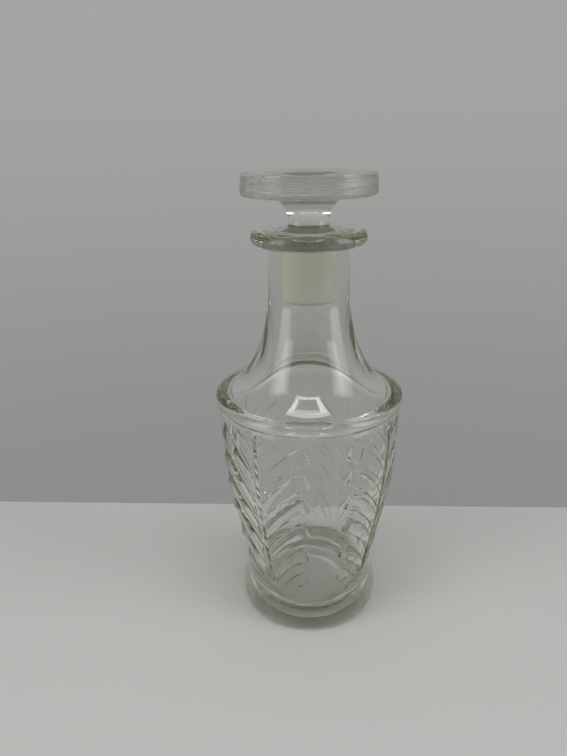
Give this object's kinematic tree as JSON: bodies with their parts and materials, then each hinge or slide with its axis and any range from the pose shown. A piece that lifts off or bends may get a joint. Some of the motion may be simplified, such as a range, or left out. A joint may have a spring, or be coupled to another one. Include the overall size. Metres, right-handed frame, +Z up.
{
  "type": "stoppered bitters bottle",
  "caption": "Clear pressed-glass bitters bottle with a flared neck, ring lip, shoulder rim and thick foot, closed by a ground flat-headed glass stopper that lifts out.",
  "frame": {"origin": "centre of the resting face, on the axis that both pieces are turned about", "axes": "+Z up along the common axis, out of the mouth; -Y towards the front as pictured, with one bevel of the stopper's head facing it; +X to the right as seen from the front"},
  "size_m": [0.07, 0.07, 0.17],
  "materials": {
    "bottle_glass": "clear pressed glass, faint olive tint in the thick parts, seat in the mouth ground matt",
    "stopper_glass": "clear polished glass above, plug ground matt and faintly yellowed"
  },
  "bodies": {
    "bottle": {"bottle": "bottle_glass"},
    "stopper": {"stopper": "stopper_glass"}
  },
  "joints": [
    {"name": "stopper_lift", "type": "slide", "parent": "bottle", "child": "stopper", "axis": [0, 0, 1], "range_m": [0, 0.03]}
  ]
}
